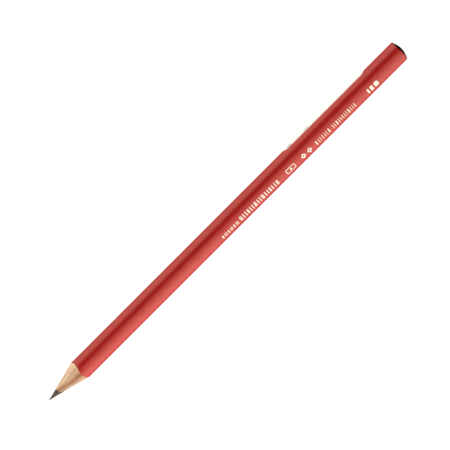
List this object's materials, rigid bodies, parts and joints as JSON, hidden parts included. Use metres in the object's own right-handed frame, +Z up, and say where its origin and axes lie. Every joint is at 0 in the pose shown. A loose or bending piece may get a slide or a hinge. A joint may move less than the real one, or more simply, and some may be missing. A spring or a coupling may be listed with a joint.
{
  "type": "triangular writing pencil",
  "caption": "Sharpened wood-cased graphite pencil with a rounded triangular barrel, glossy red lacquer, a black dipped end and plain foil marks.",
  "frame": {"origin": "middle of the pencil's length, on the surface that it lies on, below the barrel's axis", "axes": "+X along the pencil towards the dipped end, the point is at -X; +Z up, out of one rounded corner of the barrel; the flat opposite that corner faces -Z; the foil marks are on the flat that faces -Y and up, the name panel on the flat that faces +Y and up"},
  "size_m": [0.175, 0.0083, 0.0081],
  "materials": {
    "graphite": "dark grey graphite and clay lead with a faint metallic sheen",
    "glue": "dried wood glue",
    "cedar": "bare pale pencil wood, cut smooth by a sharpener",
    "red_lacquer": "glossy red lacquer",
    "black_dip": "glossy black dipped lacquer",
    "ivory_print": "ivory printed panel",
    "plum_print": "plum printed rules",
    "foil": "cream hot-stamped foil"
  },
  "bodies": {
    "root": {"lead_core": "graphite", "lead_glue_sleeve": "glue", "upper_slat": "cedar", "lower_slat": "cedar", "slat_glue_film": "glue", "lacquer_coat": "red_lacquer", "end_dip": "black_dip", "name_panel": "ivory_print", "name_panel_rules": "plum_print", "series_mark": "foil", "bonded_lead_mark": "foil", "emblem_mark": "foil", "maker_mark": "foil", "grade_mark": "foil"}
  },
  "joints": []
}
